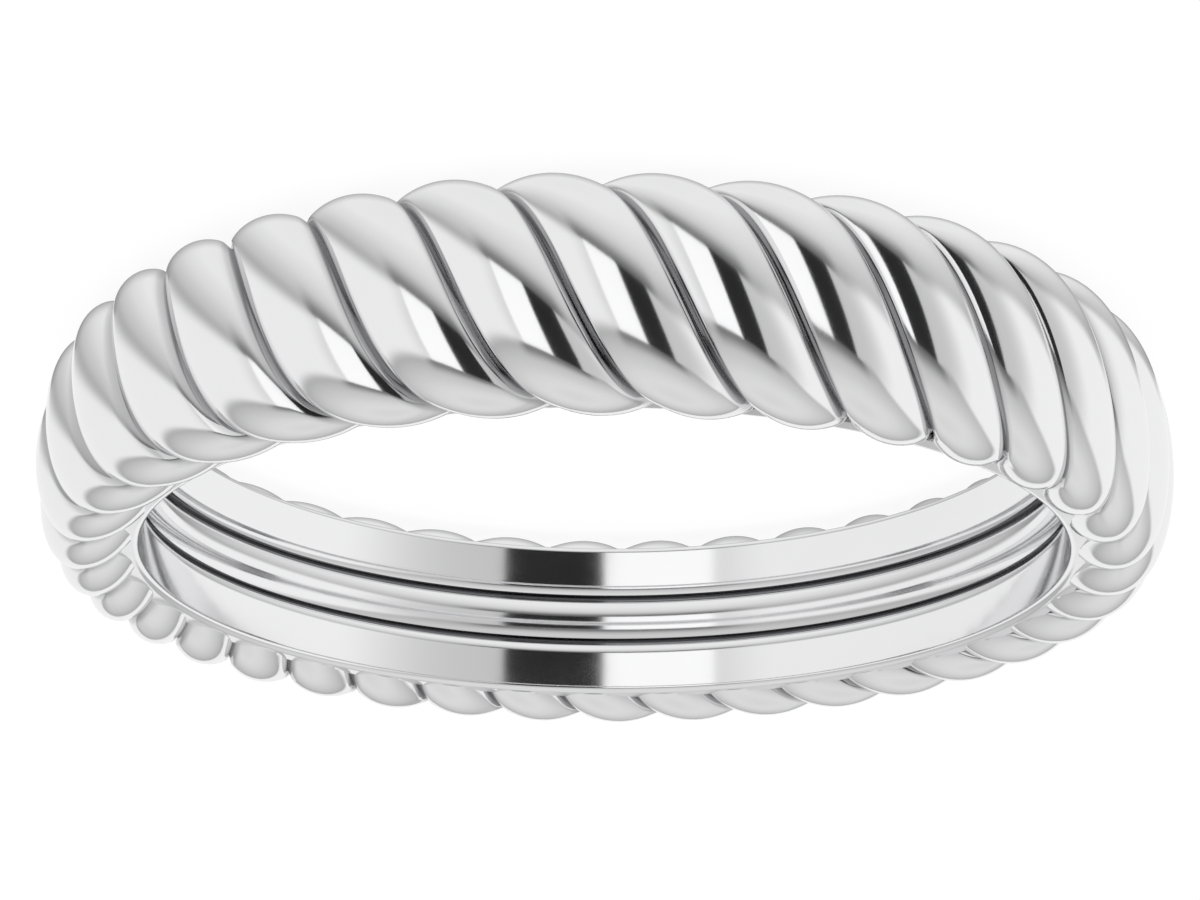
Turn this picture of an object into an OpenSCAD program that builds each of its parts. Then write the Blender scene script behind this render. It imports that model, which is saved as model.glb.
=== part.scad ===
// Rope twist ring: strands twisted into a rope round a smooth, grooved lining, cast in one piece.
// Lengths are in millimetres and angles in degrees. The ring lies on its side: +Z is the
// finger's axis, the origin is at the middle of the ring's underside, and the strands touch z = 0.

/* [Finger hole] */
// Inside diameter of the ring, measured on the lining's lands
inner_d = 17.3; // [14:0.1:22]

/* [Lining] */
// Width of the lining, measured along the finger
lining_w = 3.28; // [2.8:0.01:3.8]
// Thickness of the lining at its rims
lining_t = 0.4; // [0.36:0.01:0.5]
// Rounding of the lining's two inner edges
edge_r = 0.13; // [0.05:0.01:0.2]
// Width of the rounded rib in the middle of the lining
rib_w = 0.82; // [0.5:0.01:1.1]
// How far the rib's two edges lie below its crown
rib_drop = 0.12; // [0.05:0.01:0.2]
// Width of each of the two grooves beside the rib
groove_w = 0.15; // [0.1:0.01:0.25]
// Depth of the grooves, measured from the lands
groove_depth = 0.3; // [0.25:0.01:0.32]
// Width of the rounded shoulder between a groove and its land
shoulder_w = 0.23; // [0.1:0.01:0.3]
// How far the shoulder falls before it meets the groove
shoulder_drop = 0.09; // [0.04:0.01:0.15]

/* [Rope] */
// Width of the rope, measured along the finger
rope_w = 4.08; // [3.8:0.01:5]
// Thickness of the rope's outer half, from its middle outwards
outer_t = 1.02; // [0.9:0.01:1.3]
// Thickness of the rope's inner half, which runs into the lining before it ends
inner_t = 1.33; // [0.9:0.01:1.5]
// Distance from the finger hole's wall out to the middle of the rope
rope_mid = 0.96; // [0.7:0.01:1.1]
// Height of a strand's crown above the oval that the strands follow inside the rope
crown_h = 0.43; // [0.35:0.01:0.9]
// Distance from one strand to the next, measured round the middle of the rope
strand_pitch = 1.68; // [1.4:0.005:2]
// Number of strands that are twisted together
strand_count = 3; // [2:1:4]
// How steeply a strand's rounded surface ends in the valleys beside it, in degrees
valley_angle = 43; // [30:1:60]
// Share of a strand's turn that follows the way the surface faces, the rest following the oval
facing_share = 0.17; // [0:0.01:0.5]
// Angle of the first strand from the X axis
first_strand = 8.9; // [0:0.05:10]

/* [Hidden] */
$fn = 96;
inner_r = inner_d / 2;
mid_r = inner_r + rope_mid;
mid_z = rope_w / 2;
// Half width of the oval that the strands follow inside the rope, and its half thickness where
// the rope's surface faces outwards or inwards
path_b = rope_w / 2 - crown_h;
function path_a(facing) = (cos(facing) < 0 ? inner_t : outer_t) - crown_h;
// How often strands cross the outside of the ring, and how far each one moves on in one turn
strands_round = round(2 * PI * mid_r / strand_pitch);
strand_angle = 360 / strands_round;
turn_advance = strand_count * strand_angle;
// Facets across one strand, from one valley to the next
facets = 6;
// Directions in which the rope's surface faces, one for each row of facets, 0 being outwards
row_angles = [-138, -113, -90, -66, -44, -24, -10, 0, 10, 24, 44, 66, 90, 113, 138];
// The rope's inner side is closed inside the lining's wall, first by its rims, then behind its grooves
rim_root = [inner_r + lining_t / 2, lining_w / 2 - lining_t / 2];
groove_root = [inner_r + (groove_depth + lining_t) / 2, rib_w / 2 + groove_w + shoulder_w];

// Radius of an arc that starts level and falls by drop over run, and the angle that it turns
function arc_radius(run, drop) = (run * run + drop * drop) / (2 * drop);
function arc_angle(run, drop) = asin(run / arc_radius(run, drop));
function arc(centre, r, from, to, steps = 8) =
    [for (i = [0:steps]) centre + r * [cos(from + (to - from) * i / steps),
                                       sin(from + (to - from) * i / steps)]];

// The oval's own angle where the rope's surface faces that way, and its point there, as
// [outwards, along the finger]
function path_angle(facing) = atan2(path_b * sin(facing), path_a(facing) * cos(facing));
function path(facing) =
    let (t = path_angle(facing)) [path_a(facing) * cos(t), path_b * sin(t)];

// Half the distance between neighbouring strands, square to them, where the surface faces that way
function half_gap(facing) =
    let (t = path_angle(facing))
    let (speed = norm([path_a(facing) * sin(t), path_b * cos(t)]))
    let (bend = path_a(facing) * path_b / pow(speed, 2))
    let (along = speed * (speed + crown_h * bend))
    let (r = mid_r + path(facing)[0])
    let (across = r * turn_advance / 360)
    r * strand_angle / 2 * PI / 180 * sqrt(along / (along + across * across));

// Place across a strand of facet line i, from -1 in one valley through 0 on the crown to 1
function across_strand(i) = sin(valley_angle * (2 * i / facets - 1)) / sin(valley_angle);

// Height above the path of facet line i, on the arc that rounds each strand from valley to valley
function strand_height(facing, i) =
    crown_h - half_gap(facing) * (1 - cos(valley_angle * (2 * i / facets - 1))) / sin(valley_angle);

// Angle round the ring of facet line i of strand k, where the rope's surface faces that way
function turn_round(k, i, facing) =
    let (turned = (1 - facing_share) * path_angle(facing) + facing_share * facing)
    first_strand + strand_angle * (k + across_strand(i) / 2) - turn_advance * turned / 360;

function ring_point(r, z, angle) = [r * cos(angle), r * sin(angle), mid_z + z];

// One row of facet corners round the ring, on the rope's surface where it faces that way
function rope_row(facing) =
    [for (k = [0:strands_round - 1], i = [0:facets - 1])
        let (p = path(facing) + strand_height(facing, i) * [cos(facing), sin(facing)])
        ring_point(mid_r + p[0], p[1], turn_round(k, i, facing))];

// One hidden row inside the lining's wall, at the root place [r, z] on that side, turned round the
// ring as far as the row that faces that way
function root_row(root, side, facing) =
    [for (k = [0:strands_round - 1], i = [0:facets - 1])
        ring_point(root[0], side * root[1], turn_round(k, i, facing))];

// The rope: a closed grid of facets, whose rows run round the ring and close on themselves
module rope() {
    last = row_angles[len(row_angles) - 1];
    rows = concat([for (facing = row_angles) rope_row(facing)],
                  [root_row(rim_root, 1, last), root_row(groove_root, 1, 0)],
                  [root_row(groove_root, -1, 0), root_row(rim_root, -1, -last)]);
    row_count = len(rows);
    columns = strands_round * facets;
    corners = [for (row = rows) each row];
    function corner(row, column) = (row % row_count) * columns + column % columns;
    faces = [for (row = [0:row_count - 1], column = [0:columns - 1]) each [
        [corner(row, column), corner(row + 1, column), corner(row + 1, column + 1)],
        [corner(row, column), corner(row + 1, column + 1), corner(row, column + 1)]]];
    polyhedron(corners, faces, convexity = 10);
}

// Lower half of the lining's inner outline, from its rim up to the middle of the rib
function half_outline() =
    let (groove_z = rib_w / 2 + groove_w)
    let (land_z = groove_z + shoulder_w)
    let (shoulder_r = arc_radius(shoulder_w, shoulder_drop))
    let (shoulder_a = arc_angle(shoulder_w, shoulder_drop))
    let (rib_r = arc_radius(rib_w / 2, rib_drop))
    let (rib_a = arc_angle(rib_w / 2, rib_drop))
    let (floor_r = groove_w / 2)
    concat(
        arc([inner_r + edge_r, edge_r - lining_w / 2], edge_r, 270, 180),
        arc([inner_r + shoulder_r, -land_z], shoulder_r, 180, 180 - shoulder_a),
        arc([inner_r + groove_depth - floor_r, -rib_w / 2 - floor_r], floor_r, -90, 90),
        arc([inner_r + rib_r, 0], rib_r, 180 + rib_a, 180));

// The lining: lands beside two fine grooves, and a low rounded rib between them
module lining() {
    lower = half_outline();
    upper = [for (i = [len(lower) - 2:-1:0]) [lower[i][0], -lower[i][1]]];
    outer_r = inner_r + lining_t;
    translate([0, 0, mid_z])
        rotate_extrude()
            polygon(concat([[outer_r, -lining_w / 2]], lower, upper, [[outer_r, lining_w / 2]]));
}

module rope_band() {
    color("silver") union() {
        rope();
        lining();
    }
}

rope_band();
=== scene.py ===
"""Rope twist ring: strands of white gold twisted into a rope round a smooth, grooved lining.

The file is laid out as a Blender add-on and is run as a script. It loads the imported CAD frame,
models the rope and the lining in its place, and adds the floor, the studio and the camera.
Lengths are in metres. The ring lies on its side, and +Z is the finger's axis.
"""

import math

import bmesh
import bpy
import numpy as np
from mathutils import Matrix, Vector


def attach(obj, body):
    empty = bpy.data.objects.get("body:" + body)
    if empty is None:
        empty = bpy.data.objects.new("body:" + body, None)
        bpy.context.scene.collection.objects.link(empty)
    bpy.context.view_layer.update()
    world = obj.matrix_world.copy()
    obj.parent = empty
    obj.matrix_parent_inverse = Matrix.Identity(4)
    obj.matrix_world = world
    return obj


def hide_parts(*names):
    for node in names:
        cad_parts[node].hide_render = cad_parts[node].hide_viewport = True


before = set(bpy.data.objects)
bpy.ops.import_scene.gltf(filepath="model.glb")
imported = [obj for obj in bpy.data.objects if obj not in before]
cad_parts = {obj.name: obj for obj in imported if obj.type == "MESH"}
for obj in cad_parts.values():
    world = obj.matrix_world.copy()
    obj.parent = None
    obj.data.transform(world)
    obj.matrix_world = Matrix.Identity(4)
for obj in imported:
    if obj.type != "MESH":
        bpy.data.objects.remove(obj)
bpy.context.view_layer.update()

bl_info = {
    "name": "Rope Twist Ring",
    "version": (1, 0, 0),
    "blender": (4, 2, 0),
    "location": "3D View > Sidebar > Rope Ring",
    "description": "Models a rope twist ring, its floor and its studio around the packed CAD frame",
    "category": "Add Mesh",
}

MM = 0.001

# How finely the metal is modelled, so that its reflections run without steps
FACETS_ACROSS_STRAND = 24
ROWS_ALONG_STRAND = 96
STEPS_ROUND_LINING = 240
ARC_STEPS = 10
# Steps for measuring the way along a strand, and the length that counts as one radian of turn
MEASURING_STEPS = 4001
TURN_LENGTH = 0.5 * MM
# Corners closer than this are one corner, and edges sharper than this are left sharp
MERGE_DISTANCE = 0.0002 * MM
SHARP_ANGLE = math.radians(35)

# How far round the rope's inner side its surface stays in sight
LAST_FACING = math.radians(138)
# Where across a strand, from its crown at 0 to its valleys at 1, it starts to roll into the
# crease: late on the side ahead, which is steep, and early on the side behind, which is wide
CREASE_START_AHEAD = 0.87
CREASE_START_BEHIND = 0.75
# How much of the painted shade the creases show, against 1 in the lining's grooves
CREASE_PAINTED_SHADE = 0.5
# Share of a groove's depth at which the painted shade starts, and share over which it grows
GROOVE_PAINTED_SHADE_START = 0.38
GROOVE_PAINTED_SHADE_RUN = 0.2

# The studio as the ring sees it, in degrees: azimuth is 0 in front and grows towards -X.
# Foot and top of the walls and the cards, and of the walls on the side towards -X
WALL_FOOT, WALL_TOP = -24, 19
SIDE_WALL_FOOT, SIDE_WALL_TOP = -30, 29
# Where the walls grow from the first pair of heights to the second, as places along X
SIDE_START, SIDE_END = -0.65, -0.95
# Brightness of the walls where they are darkest, round that azimuth, and everywhere else. They
# brighten between the first and second cosine of the angle from there, and a little towards -X
DARK_WALL_AZIMUTH = 14
DARK_WALL, BRIGHT_WALL = 0.62, 0.96
DARK_WALL_COSINE, BRIGHT_WALL_COSINE = 0.92, 0.45
WALL_TILT = -0.02
# The walls' edges are crisp beside the cards and blurred by these angles on both sides
CRISP_BLUR, SIDE_BLUR = 0.3, 5
# Brightness of the two domes from straight down at 0 to straight up at 1
DOME_STOPS = [(0.0, 0.9), (0.17, 0.92), (0.25, 0.8), (0.32, 0.6), (0.365, 0.36), (0.606, 0.4),
              (0.65, 0.54), (0.7, 0.63), (0.8, 0.76), (0.87, 0.8), (1.0, 0.75)]
# The frame round the cards dims the domes by this share, and ends this far from their middle
FRAME_SHARE = 0.64
FRAME_REACH = 37
# Where the frame starts and stops thinning out sideways, as distances from the middle along X
FRAME_SIDE_START, FRAME_SIDE_END = 0.45, 0.64
# The flag low behind the ring: its azimuth and elevation, its reach, and what light it leaves
FLAG_PLACE = (180, -40)
FLAG_REACH = 39
FLAG_LEAVES = 0.7
# The floor's radius in metres, the share of its colour that the lamp meets, and its own glow,
# which together come out white and leave the ring a faint contact shadow
FLOOR_RADIUS = 4.0
FLOOR_SHARE = 0.12
FLOOR_GLOW = 0.9
LAMP_STRENGTH = 2.2
LAMP_SPREAD = math.radians(120)


def to_linear(hex_colour):
    """Turns an sRGB hex colour such as '#eeeeef' into Blender's linear red, green and blue."""
    parts = [int(hex_colour[i:i + 2], 16) / 255 for i in (1, 3, 5)]
    return tuple(c / 12.92 if c <= 0.04045 else ((c + 0.055) / 1.055) ** 2.4 for c in parts)


def add_node(tree, kind, inputs=None, stops=None, **settings):
    """Adds a node with its settings. Each input takes a value, or another node's output to link."""
    node = tree.nodes.new(kind)
    for name, value in settings.items():
        setattr(node, name, value)
    for name, value in (inputs or {}).items():
        if isinstance(value, bpy.types.NodeSocket):
            tree.links.new(value, node.inputs[name])
        else:
            node.inputs[name].default_value = value
    if stops:
        ramp = node.color_ramp.elements
        while len(ramp) < len(stops):
            ramp.new(0.5)
        for element, (place, grey) in zip(ramp, stops):
            element.position = place
            element.color = (grey, grey, grey, 1)
    return node


def length(name, description, mm):
    """A length that a user may change, given in millimetres and kept in metres."""
    return bpy.props.FloatProperty(name=name, description=description, default=mm * MM,
                                   min=0, unit="LENGTH", subtype="DISTANCE", precision=5)


class RopeRingSizes(bpy.types.PropertyGroup):
    inner_d: length("Inside diameter", "Diameter of the finger hole, measured on the lands", 17.3)
    lining_w: length("Lining width", "Width of the lining along the finger", 3.28)
    lining_t: length("Lining thickness", "Thickness of the lining at its rims", 0.4)
    edge_r: length("Edge rounding", "Rounding of the lining's two inner edges", 0.13)
    rib_w: length("Rib width", "Width of the rounded rib in the middle of the lining", 0.82)
    rib_drop: length("Rib drop", "How far the rib's edges lie below its crown", 0.12)
    groove_w: length("Groove width", "Width of each of the grooves beside the rib", 0.15)
    groove_depth: length("Groove depth", "Depth of the grooves, measured from the lands", 0.3)
    shoulder_w: length("Shoulder width", "Width of the shoulder between groove and land", 0.23)
    shoulder_drop: length("Shoulder drop", "How far the shoulder falls to its groove", 0.09)
    rope_w: length("Rope width", "Width of the rope along the finger", 4.08)
    outer_t: length("Outer thickness", "Thickness of the rope's outer half", 1.02)
    inner_t: length("Inner thickness", "Thickness of the rope's inner half", 1.33)
    rope_mid: length("Rope middle", "Distance from the hole's wall to the rope's middle", 0.96)
    crown_h: length("Crown height", "Height of a strand's crown above the oval it follows", 0.43)
    strand_pitch: length("Strand spacing", "Distance from strand to strand round the rope", 1.68)
    strand_count: bpy.props.IntProperty(
        name="Strands", description="Number of strands that are twisted together",
        default=3, min=2, max=4)
    valley_angle: bpy.props.FloatProperty(
        name="Valley angle", description="How steeply a strand's rounding ends in its valleys",
        default=math.radians(43), min=math.radians(30), max=math.radians(60),
        unit="ROTATION", subtype="ANGLE")
    crease_d: length("Crease depth", "How far a strand's two edges roll down into its creases", 0.1)
    facing_share: bpy.props.FloatProperty(
        name="Facing share", description="Share of a strand's turn that follows its facing",
        default=0.17, min=0, max=0.5)
    first_strand: bpy.props.FloatProperty(
        name="First strand", description="Angle of the first strand from the X axis",
        default=math.radians(8.9), unit="ROTATION", subtype="ANGLE")


class RopeRingFinish(bpy.types.PropertyGroup):
    metal: bpy.props.FloatVectorProperty(
        name="Metal", description="Colour of the rhodium plating", subtype="COLOR",
        size=3, min=0, max=1, default=to_linear("#f0f0f1"))
    # Painted shade: the darker colour that the creases and the lining's grooves are painted with,
    # for the shade that falls there
    painted_shade: bpy.props.FloatVectorProperty(
        name="Painted shade colour", description="Darker colour painted into the creases and grooves as shade",
        subtype="COLOR", size=3, min=0, max=1, default=to_linear("#858587"))
    roughness: bpy.props.FloatProperty(
        name="Roughness", description="Roughness of the mirror polish, at its best places",
        subtype="FACTOR", min=0, max=1, default=0.1)
    floor: bpy.props.FloatVectorProperty(
        name="Floor", description="Colour of the floor", subtype="COLOR",
        size=3, min=0, max=1, default=to_linear("#f4f4f4"))


class RopeRingStudio(bpy.types.PropertyGroup):
    camera_distance: length("Camera distance", "From the camera to the point it looks at", 56.225)
    camera_target: length("Target height", "Height of the point that the camera looks at", 1.25)
    camera_elevation: bpy.props.FloatProperty(
        name="Camera elevation", description="Height of the camera above the horizon",
        default=0.3456, unit="ROTATION", subtype="ANGLE")
    camera_lens: bpy.props.FloatProperty(
        name="Lens", description="Focal length of the lens, for a sensor 36 mm wide",
        default=88.39, unit="CAMERA")
    camera_swing: bpy.props.FloatProperty(
        name="Camera swing", description="How far the camera is swung towards +X",
        default=0.00165, unit="ROTATION", subtype="ANGLE")
    camera_roll: bpy.props.FloatProperty(
        name="Camera roll", description="How far the camera is rolled",
        default=math.pi + 0.007, unit="ROTATION", subtype="ANGLE")


class StrandPath:
    """The oval that the strands follow in the rope's section, and their rounded surface over it.

    A facing is the direction in which the rope's surface faces there, 0 being outwards. A place
    across a strand runs from -1 in one valley through 0 on its crown to 1 in the other.
    """

    def __init__(self, sizes):
        self.sizes = sizes
        self.inner_r = sizes.inner_d / 2
        self.mid_r = self.inner_r + sizes.rope_mid
        self.half_w = sizes.rope_w / 2 - sizes.crown_h
        self.strands_round = round(math.tau * self.mid_r / sizes.strand_pitch)
        self.strand_angle = math.tau / self.strands_round
        self.turn_advance = sizes.strand_count * self.strand_angle

    def oval(self, facing):
        """The oval's half thickness on that side, and the oval's own angle there."""
        side = self.sizes.outer_t if math.cos(facing) >= 0 else self.sizes.inner_t
        half_t = side - self.sizes.crown_h
        return half_t, math.atan2(self.half_w * math.sin(facing), half_t * math.cos(facing))

    def section(self, facing, height):
        """The point at a height over the oval, as (from the finger's axis, along it)."""
        half_t, t = self.oval(facing)
        return (self.mid_r + half_t * math.cos(t) + height * math.cos(facing),
                self.half_w * math.sin(t) + height * math.sin(facing))

    def half_gap(self, facing):
        """Half the distance between neighbouring strands, square to them."""
        half_t, t = self.oval(facing)
        radius = self.section(facing, 0)[0]
        speed = math.hypot(half_t * math.sin(t), self.half_w * math.cos(t))
        bend = half_t * self.half_w / speed ** 2
        along = speed * (speed + self.sizes.crown_h * bend)
        across = radius * self.turn_advance / math.tau
        return radius * self.strand_angle / 2 * math.sqrt(along / (along + across ** 2))

    def angle(self, facing, v):
        """Angle round the ring at that place across the first strand."""
        valley_angle = self.sizes.valley_angle
        across = math.sin(valley_angle * v) / math.sin(valley_angle)
        share = self.sizes.facing_share
        turned = (1 - share) * self.oval(facing)[1] + share * facing
        return self.sizes.first_strand + self.strand_angle * across / 2 - (
            self.turn_advance * turned / math.tau)

    def crease(self, v):
        """How far a place across a strand lies into the crease beside it, from 0 to 1."""
        start = CREASE_START_AHEAD if v > 0 else CREASE_START_BEHIND
        return max(0, (abs(v) - start) / (1 - start))

    def surface(self, facing, v):
        """A point on the strand's rounded surface, about the middle of the rope's width."""
        valley_angle = self.sizes.valley_angle
        fall = (1 - math.cos(valley_angle * v)) / math.sin(valley_angle)
        roll = self.sizes.crease_d * self.crease(v) ** 2
        height = self.sizes.crown_h - self.half_gap(facing) * fall - roll
        r, z = self.section(facing, height)
        a = self.angle(facing, v)
        return Vector((r * math.cos(a), r * math.sin(a), z))

    def root(self, facing, v, r, z):
        """A point inside the lining's wall, turned as far round the ring as that facing."""
        a = self.angle(facing, v)
        return Vector((r * math.cos(a), r * math.sin(a), z))

    def facings(self, rows):
        """Facings for rows along the strand, closer together where it turns round quickly."""
        fine = np.linspace(-LAST_FACING, LAST_FACING, MEASURING_STEPS)
        crown = np.array([self.section(facing, self.sizes.crown_h) for facing in fine])
        run = np.linalg.norm(np.diff(crown, axis=0), axis=1) + TURN_LENGTH * np.diff(fine)
        run = np.concatenate([[0], np.cumsum(run)])
        return np.interp(np.linspace(0, run[-1], rows), run, fine)


def finish_mesh(bm, name):
    """Closes a mesh, turns its faces outwards, shades it smooth up to sharp edges, and keeps it."""
    bmesh.ops.remove_doubles(bm, verts=bm.verts, dist=MERGE_DISTANCE)
    bmesh.ops.recalc_face_normals(bm, faces=bm.faces)
    for face in bm.faces:
        face.smooth = True
    for edge in bm.edges:
        edge.smooth = edge.calc_face_angle(0) < SHARP_ANGLE
    mesh = bpy.data.meshes.new(name)
    bm.to_mesh(mesh)
    bm.free()
    piece = bpy.data.objects.new(name, mesh)
    bpy.context.scene.collection.objects.link(piece)
    return piece


def model_rope(sizes):
    """One strand's facets from valley to valley, from a grid, spun into the whole rope."""
    path = StrandPath(sizes)
    rim_root = (path.inner_r + sizes.lining_t / 2, sizes.lining_w / 2 - sizes.lining_t / 2)
    groove_root = (path.inner_r + (sizes.groove_depth + sizes.lining_t) / 2,
                   sizes.rib_w / 2 + sizes.groove_w + sizes.shoulder_w)
    # The hidden rows, which close the rope inside the lining's wall: their facing and their place
    roots = [(LAST_FACING, *rim_root), (0, *groove_root),
             (0, groove_root[0], -groove_root[1]),
             (-LAST_FACING, rim_root[0], -rim_root[1])]
    facings = path.facings(ROWS_ALONG_STRAND)
    rows = len(facings) + len(roots)

    bm = bmesh.new()
    painted_shade = bm.verts.layers.float.new("painted_shade")
    bmesh.ops.create_grid(bm, x_segments=FACETS_ACROSS_STRAND, y_segments=rows, size=1)
    for vert in bm.verts:
        # Places across the strand, closer together towards its creases
        v = (vert.co.x + math.sin(math.pi / 2 * vert.co.x)) / 2
        row = round((vert.co.y + 1) / 2 * rows) % rows
        if row < len(facings):
            vert.co = path.surface(facings[row], v)
        else:
            facing, r, z = roots[row - len(facings)]
            vert.co = path.root(facing, v, r, z)
        vert.co.z += sizes.rope_w / 2
        # Painted shade: the strand's edges, where they roll into the creases, are marked to take
        # the darker colour
        vert[painted_shade] = min(CREASE_PAINTED_SHADE, path.crease(v))
    bmesh.ops.spin(bm, geom=bm.faces[:], cent=(0, 0, 0), axis=(0, 0, 1), dvec=(0, 0, 0),
                   angle=math.tau - path.strand_angle, steps=path.strands_round - 1,
                   use_duplicate=True)
    return finish_mesh(bm, "rope")


def arc(centre, radius, start, end):
    """Points on an arc from start to end, in degrees, as (outwards, along the finger)."""
    return [(centre[0] + radius * math.cos(math.radians(a)),
             centre[1] + radius * math.sin(math.radians(a)))
            for a in np.linspace(start, end, ARC_STEPS + 1)]


def lining_outline(sizes):
    """Lower half of the lining's inner outline, from its rim up to the middle of the rib."""
    inner_r = sizes.inner_d / 2
    half_w = sizes.lining_w / 2
    floor_r = sizes.groove_w / 2
    land_z = sizes.rib_w / 2 + sizes.groove_w + sizes.shoulder_w
    support = 0.01 * MM   # keeps the flat land beside each rounding flat

    def falling(run, drop):
        radius = (run ** 2 + drop ** 2) / (2 * drop)
        return radius, math.degrees(math.asin(run / radius))

    shoulder_r, shoulder_a = falling(sizes.shoulder_w, sizes.shoulder_drop)
    rib_r, rib_a = falling(sizes.rib_w / 2, sizes.rib_drop)
    return [
        (inner_r + sizes.lining_t, -half_w),
        (inner_r + sizes.edge_r + support, -half_w),
        *arc((inner_r + sizes.edge_r, sizes.edge_r - half_w), sizes.edge_r, 270, 180),
        (inner_r, sizes.edge_r - half_w + support),
        (inner_r, -land_z - support),
        *arc((inner_r + shoulder_r, -land_z), shoulder_r, 180, 180 - shoulder_a),
        *arc((inner_r + sizes.groove_depth - floor_r, -sizes.rib_w / 2 - floor_r), floor_r,
             -90, 90),
        *arc((inner_r + rib_r, 0), rib_r, 180 + rib_a, 180),
    ]


def model_lining(sizes):
    """The lining's outline, spun once round the finger's axis."""
    lower = lining_outline(sizes)
    outline = lower + [(r, -z) for r, z in reversed(lower[:-1])]
    bm = bmesh.new()
    painted_shade = bm.verts.layers.float.new("painted_shade")
    corners = [bm.verts.new((r, 0, z + sizes.rope_w / 2)) for r, z in outline]
    sides = [bm.edges.new(pair) for pair in zip(corners, corners[1:] + corners[:1])]
    bmesh.ops.spin(bm, geom=corners + sides, cent=(0, 0, 0), axis=(0, 0, 1), dvec=(0, 0, 0),
                   angle=math.tau, steps=STEPS_ROUND_LINING, use_merge=True)
    # Painted shade: the grooves beside the rib are marked, more where deeper, to take the darker
    # colour
    for vert in bm.verts:
        deep = (vert.co.xy.length - sizes.inner_d / 2) / sizes.groove_depth
        if abs(vert.co.z - sizes.rope_w / 2) < sizes.rib_w:
            vert[painted_shade] = min(1, max(0, (deep - GROOVE_PAINTED_SHADE_START) / GROOVE_PAINTED_SHADE_RUN))
    return finish_mesh(bm, "lining")


def polished_white_gold(finish):
    """Rhodium-plated white gold, cast and mirror-polished.

    The plating gives a cool, nearly colourless mirror with crisp reflections. Polishing by hand
    leaves waves too shallow to see by themselves, which only make long reflections run softly,
    and a haze that comes and goes. The creases between the strands and the lining's grooves get
    a darker colour, painted shade that stands in for the shade falling there.
    """
    name = "Rhodium-plated white gold, mirror-polished"
    metal = bpy.data.materials.get(name)
    if metal:
        return metal
    metal = bpy.data.materials.new(name)
    metal.use_nodes = True
    tree = metal.node_tree
    tree.nodes.clear()
    place = add_node(tree, "ShaderNodeTexCoord").outputs["Object"]
    # Polishing waves about 0.7 mm apart and a fraction of a micron high
    waves = add_node(tree, "ShaderNodeTexNoise", {"Vector": place, "Scale": 1 / (0.7 * MM),
                                                  "Detail": 1.0, "Roughness": 0.4})
    bump = add_node(tree, "ShaderNodeBump", {"Height": waves.outputs["Fac"], "Strength": 1.0,
                                             "Distance": 0.0006 * MM})
    # Haze in patches about 1.5 mm across
    haze = add_node(tree, "ShaderNodeTexNoise", {"Vector": place, "Scale": 1 / (1.5 * MM),
                                                 "Detail": 3.0, "Roughness": 0.6})
    rough = add_node(tree, "ShaderNodeMapRange", {
        "Value": haze.outputs["Fac"], "From Min": 0.35, "From Max": 0.75,
        "To Min": finish.roughness, "To Max": finish.roughness + 0.03})
    # Painted shade: the colour is mixed towards a darker grey in the creases and grooves, for the
    # shade there
    painted_shade = add_node(tree, "ShaderNodeAttribute", attribute_name="painted_shade").outputs["Fac"]
    colour = add_node(tree, "ShaderNodeMix", {
        "Factor": painted_shade, "A": (*finish.metal, 1), "B": (*finish.painted_shade, 1)},
        data_type="RGBA").outputs["Result"]
    shader = add_node(tree, "ShaderNodeBsdfPrincipled", {
        "Base Color": colour, "Metallic": 1.0,
        "Roughness": rough.outputs["Result"], "Normal": bump.outputs["Normal"]})
    add_node(tree, "ShaderNodeOutputMaterial", {"Surface": shader.outputs["BSDF"]})
    return metal


def aim(azimuth, elevation):
    """The direction at those angles, in degrees, azimuth 0 being in front and growing to -X."""
    a, e = math.radians(azimuth), math.radians(elevation)
    return Vector((-math.sin(a) * math.cos(e), -math.cos(a) * math.cos(e), math.sin(e)))


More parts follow.
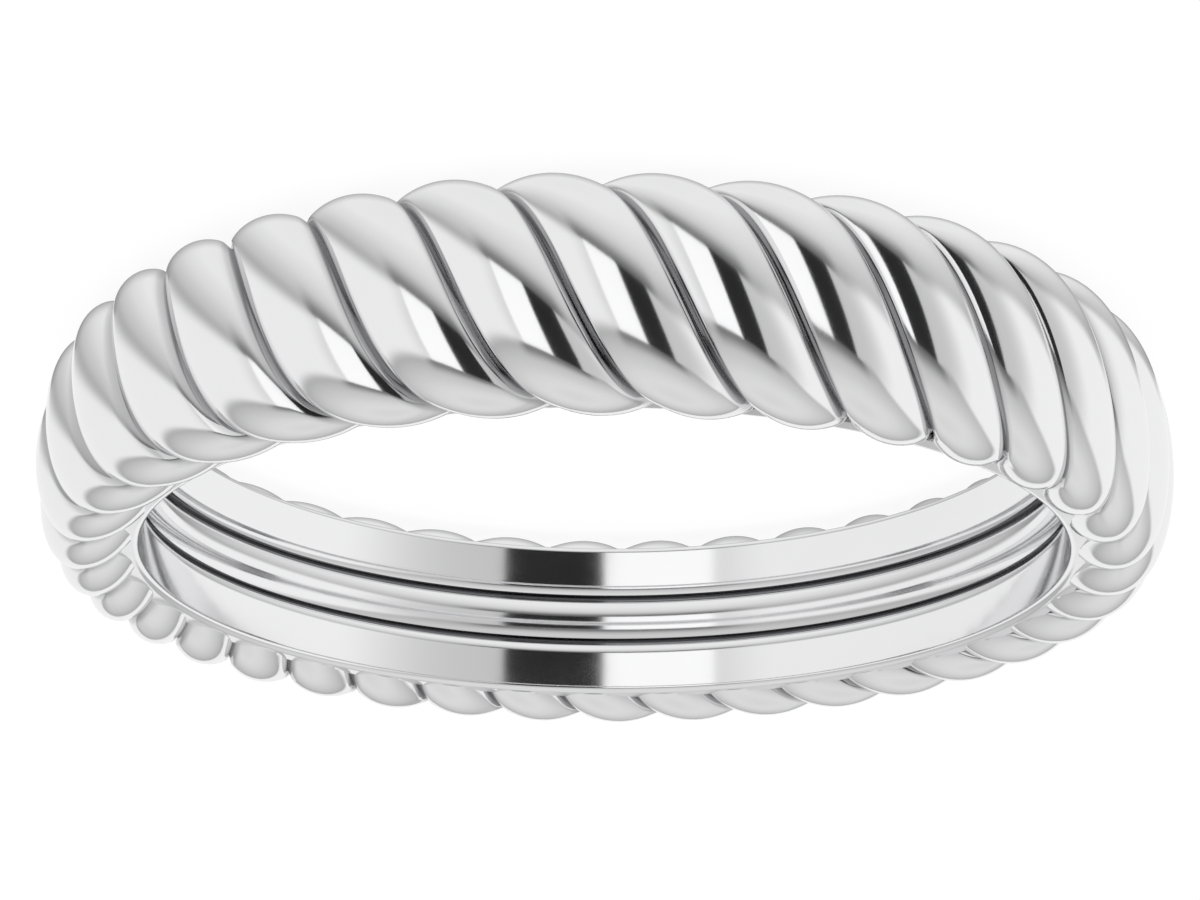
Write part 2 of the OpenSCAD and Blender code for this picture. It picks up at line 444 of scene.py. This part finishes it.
def dome_light(tree, way, parts, up):
    """The light of the two domes, the ceiling and the floor, darkest where they meet the walls."""
    height = add_node(tree, "ShaderNodeMapRange", {
        "Value": up, "From Min": -math.pi / 2, "From Max": math.pi / 2}).outputs["Result"]
    domes = add_node(tree, "ShaderNodeValToRGB", {"Fac": height},
                     stops=DOME_STOPS).outputs["Color"]

    # A soft flag low behind the ring, which darkens the rope's edge
    near = add_node(tree, "ShaderNodeVectorMath", {0: way, 1: aim(*FLAG_PLACE)},
                    operation="DOT_PRODUCT").outputs["Value"]
    past_flag = add_node(tree, "ShaderNodeMapRange", {
        "Value": near, "From Min": math.cos(math.radians(FLAG_REACH)), "From Max": 1.0,
        "To Min": 1.0, "To Max": FLAG_LEAVES}, interpolation_type="SMOOTHSTEP").outputs["Result"]

    # A soft frame over and under the cards, which thins out upwards, downwards and sideways
    middle, half_height = (WALL_FOOT + WALL_TOP) / 2, (WALL_TOP - WALL_FOOT) / 2
    level = add_node(tree, "ShaderNodeMath", {0: up, 1: math.radians(middle)},
                     operation="SUBTRACT").outputs[0]
    away = add_node(tree, "ShaderNodeMath", {0: level}, operation="ABSOLUTE").outputs[0]
    depth = add_node(tree, "ShaderNodeMapRange", {
        "Value": away, "From Min": math.radians(half_height),
        "From Max": math.radians(FRAME_REACH), "To Min": FRAME_SHARE, "To Max": 0.0},
        interpolation_type="SMOOTHSTEP").outputs["Result"]
    aside = add_node(tree, "ShaderNodeMath", {0: parts["X"]}, operation="ABSOLUTE").outputs[0]
    width = add_node(tree, "ShaderNodeMapRange", {
        "Value": aside, "From Min": FRAME_SIDE_START, "From Max": FRAME_SIDE_END,
        "To Min": 1.0, "To Max": 0.0}, interpolation_type="SMOOTHSTEP").outputs["Result"]
    ahead = add_node(tree, "ShaderNodeMath", {0: parts["Y"], 1: 0.0},
                     operation="LESS_THAN").outputs[0]
    shade = add_node(tree, "ShaderNodeMath", {0: depth, 1: width}, operation="MULTIPLY").outputs[0]
    shade = add_node(tree, "ShaderNodeMath", {0: shade, 1: ahead}, operation="MULTIPLY").outputs[0]
    past_frame = add_node(tree, "ShaderNodeMath", {0: 1.0, 1: shade},
                          operation="SUBTRACT").outputs[0]

    for past in (past_flag, past_frame):
        domes = add_node(tree, "ShaderNodeMath", {0: domes, 1: past},
                         operation="MULTIPLY").outputs[0]
    return domes


def wall_light(tree, way, parts, up):
    """The light of the walls, darker in front, and where they stand before the domes."""
    front = add_node(tree, "ShaderNodeVectorMath", {0: way, 1: aim(DARK_WALL_AZIMUTH, 0)},
                     operation="DOT_PRODUCT").outputs["Value"]
    walls = add_node(tree, "ShaderNodeMapRange", {
        "Value": front, "From Min": DARK_WALL_COSINE, "From Max": BRIGHT_WALL_COSINE,
        "To Min": DARK_WALL, "To Max": BRIGHT_WALL},
        interpolation_type="SMOOTHSTEP").outputs["Result"]
    tilt = add_node(tree, "ShaderNodeMath", {0: parts["X"], 1: WALL_TILT, 2: 1.0},
                    operation="MULTIPLY_ADD").outputs[0]
    walls = add_node(tree, "ShaderNodeMath", {0: walls, 1: tilt}, operation="MULTIPLY").outputs[0]

    foot, top = [add_node(tree, "ShaderNodeMapRange", {
        "Value": parts["X"], "From Min": SIDE_START, "From Max": SIDE_END,
        "To Min": math.radians(plain), "To Max": math.radians(side)},
        interpolation_type="SMOOTHSTEP").outputs["Result"]
        for plain, side in [(WALL_FOOT, SIDE_WALL_FOOT), (WALL_TOP, SIDE_WALL_TOP)]]
    aside = add_node(tree, "ShaderNodeMath", {0: parts["X"]}, operation="ABSOLUTE").outputs[0]
    blur = add_node(tree, "ShaderNodeMapRange", {
        "Value": aside, "From Min": FRAME_SIDE_START, "From Max": FRAME_SIDE_END,
        "To Min": math.radians(CRISP_BLUR), "To Max": math.radians(SIDE_BLUR)},
        interpolation_type="SMOOTHSTEP").outputs["Result"]
    above, below = [add_node(tree, "ShaderNodeMapRange", {
        "Value": up,
        "From Min": add_node(tree, "ShaderNodeMath", {0: edge, 1: blur},
                             operation="SUBTRACT").outputs[0],
        "From Max": add_node(tree, "ShaderNodeMath", {0: edge, 1: blur},
                             operation="ADD").outputs[0],
        "To Min": under, "To Max": 1 - under}, interpolation_type="SMOOTHSTEP").outputs["Result"]
        for edge, under in [(foot, 0.0), (top, 1.0)]]
    standing = add_node(tree, "ShaderNodeMath", {0: above, 1: below},
                        operation="MULTIPLY").outputs[0]
    return walls, standing


def light_studio():
    """A round studio of bright walls between a ceiling and a floor, which the metal mirrors."""
    world = bpy.data.worlds.new("Studio")
    bpy.context.scene.world = world
    world.use_nodes = True
    tree = world.node_tree
    tree.nodes.clear()
    way = add_node(tree, "ShaderNodeTexCoord").outputs["Generated"]
    parts = add_node(tree, "ShaderNodeSeparateXYZ", {"Vector": way}).outputs
    up = add_node(tree, "ShaderNodeMath", {0: parts["Z"]}, operation="ARCSINE").outputs[0]
    domes = dome_light(tree, way, parts, up)
    walls, standing = wall_light(tree, way, parts, up)
    light = add_node(tree, "ShaderNodeMix", {
        "Factor": standing, "A": domes, "B": walls}, data_type="FLOAT")
    sky = add_node(tree, "ShaderNodeBackground", {
        "Color": light.outputs[0], "Strength": 1.0})
    add_node(tree, "ShaderNodeOutputWorld", {"Surface": sky.outputs["Background"]})


def hang_card(name, grey, azimuth, distance):
    """A glowing card in front of the ring, as high as the walls. Azimuth is (from, to)."""
    bm = bmesh.new()
    bmesh.ops.create_grid(bm, x_segments=8, y_segments=8, size=1)
    for vert in bm.verts:
        a = azimuth[0] + (azimuth[1] - azimuth[0]) * (vert.co.x + 1) / 2
        e = WALL_FOOT + (WALL_TOP - WALL_FOOT) * (vert.co.y + 1) / 2
        vert.co = distance * aim(a, e)
    mesh = bpy.data.meshes.new(name)
    bm.to_mesh(mesh)
    bm.free()
    card = bpy.data.objects.new(name, mesh)
    bpy.context.scene.collection.objects.link(card)
    matt = bpy.data.materials.new(name)
    matt.use_nodes = True
    tree = matt.node_tree
    tree.nodes.clear()
    glow = add_node(tree, "ShaderNodeEmission", {"Color": (grey, grey, grey, 1), "Strength": 1.0})
    add_node(tree, "ShaderNodeOutputMaterial", {"Surface": glow.outputs["Emission"]})
    mesh.materials.append(matt)
    card.visible_camera = card.visible_diffuse = card.visible_shadow = False


def lay_floor(finish):
    """A plain pale floor, lit evenly to white, which the metal doesn't mirror."""
    bm = bmesh.new()
    bmesh.ops.create_circle(bm, cap_ends=True, segments=96, radius=FLOOR_RADIUS)
    mesh = bpy.data.meshes.new("floor")
    bm.to_mesh(mesh)
    bm.free()
    floor = bpy.data.objects.new("floor", mesh)
    bpy.context.scene.collection.objects.link(floor)
    paper = bpy.data.materials.new("Matt white studio paper")
    paper.use_nodes = True
    tree = paper.node_tree
    tree.nodes.clear()
    shader = add_node(tree, "ShaderNodeBsdfPrincipled", {
        "Base Color": (*[FLOOR_SHARE * c for c in finish.floor], 1), "Roughness": 0.9,
        "Specular IOR Level": 0.0, "Emission Color": (1, 1, 1, 1),
        "Emission Strength": FLOOR_GLOW})
    add_node(tree, "ShaderNodeOutputMaterial", {"Surface": shader.outputs["BSDF"]})
    mesh.materials.append(paper)
    floor.visible_glossy = False


def hang_lamp():
    """A wide soft lamp high above, which lights the floor and isn't seen in the metal."""
    lamp = bpy.data.objects.new("lamp", bpy.data.lights.new("lamp", "SUN"))
    lamp.data.energy = LAMP_STRENGTH
    lamp.data.angle = LAMP_SPREAD
    lamp.visible_glossy = False
    bpy.context.scene.collection.objects.link(lamp)


def place_camera(studio):
    """The camera, above the floor and turned upside down, as the photograph shows the ring."""
    e = studio.camera_elevation
    target = Vector((0, 0, studio.camera_target))
    back = Vector((0, -math.cos(e), math.sin(e)))
    camera = bpy.data.objects.new("camera", bpy.data.cameras.new("camera"))
    camera.data.lens = studio.camera_lens
    camera.data.sensor_width = 36
    camera.data.clip_start = 1 * MM
    camera.data.clip_end = 20
    upright = Matrix((Vector((1, 0, 0)), back.cross(Vector((1, 0, 0))), back)).transposed()
    turn = Matrix.Rotation(-studio.camera_swing, 3, "Y") @ Matrix.Rotation(
        studio.camera_roll, 3, "Z")
    camera.matrix_world = Matrix.Translation(target + back * studio.camera_distance) @ (
        upright @ turn).to_4x4()
    bpy.context.scene.collection.objects.link(camera)
    bpy.context.scene.camera = camera


class ROPERING_OT_rope(bpy.types.Operator):
    """Model the twisted rope round the outside of the ring"""
    bl_idname = "rope_ring.rope"
    bl_label = "Rope"

    def execute(self, context):
        rope = model_rope(context.scene.rope_ring_sizes)
        rope.data.materials.append(polished_white_gold(context.scene.rope_ring_finish))
        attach(rope, "root")
        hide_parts("rope_band")
        return {"FINISHED"}


class ROPERING_OT_lining(bpy.types.Operator):
    """Model the smooth lining with its lands, grooves and rib"""
    bl_idname = "rope_ring.lining"
    bl_label = "Lining"

    def execute(self, context):
        lining = model_lining(context.scene.rope_ring_sizes)
        lining.data.materials.append(polished_white_gold(context.scene.rope_ring_finish))
        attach(lining, "root")
        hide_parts("rope_band")
        return {"FINISHED"}


class ROPERING_OT_stage(bpy.types.Operator):
    """Set up the floor, the studio's light and cards, and the camera"""
    bl_idname = "rope_ring.stage"
    bl_label = "Floor, Light and Camera"

    def execute(self, context):
        scene = context.scene
        light_studio()
        lay_floor(scene.rope_ring_finish)
        hang_lamp()
        hang_card("white_card", grey=1.12, azimuth=(-30, 0), distance=0.6)
        hang_card("black_card", grey=0.024, azimuth=(0, 27), distance=0.59)
        place_camera(scene.rope_ring_studio)
        scene.view_settings.view_transform = "Standard"
        return {"FINISHED"}


class ROPERING_PT_panel(bpy.types.Panel):
    bl_idname = "ROPERING_PT_panel"
    bl_label = "Rope Twist Ring"
    bl_space_type = "VIEW_3D"
    bl_region_type = "UI"
    bl_category = "Rope Ring"

    def draw(self, context):
        for group in ("rope_ring_sizes", "rope_ring_finish", "rope_ring_studio"):
            values = getattr(context.scene, group)
            box = self.layout.box()
            for name in values.__annotations__:
                box.prop(values, name)
        for operator in OPERATORS:
            self.layout.operator(operator.bl_idname)


GROUPS = {"rope_ring_sizes": RopeRingSizes, "rope_ring_finish": RopeRingFinish,
          "rope_ring_studio": RopeRingStudio}
OPERATORS = (ROPERING_OT_rope, ROPERING_OT_lining, ROPERING_OT_stage)
CLASSES = (*GROUPS.values(), *OPERATORS, ROPERING_PT_panel)


def register():
    for cls in CLASSES:
        bpy.utils.register_class(cls)
    for name, group in GROUPS.items():
        setattr(bpy.types.Scene, name, bpy.props.PointerProperty(type=group))


def unregister():
    for name in GROUPS:
        delattr(bpy.types.Scene, name)
    for cls in reversed(CLASSES):
        bpy.utils.unregister_class(cls)


def main():
    register()
    bpy.ops.rope_ring.rope()
    bpy.ops.rope_ring.lining()
    bpy.ops.rope_ring.stage()


if __name__ == "__main__":
    main()
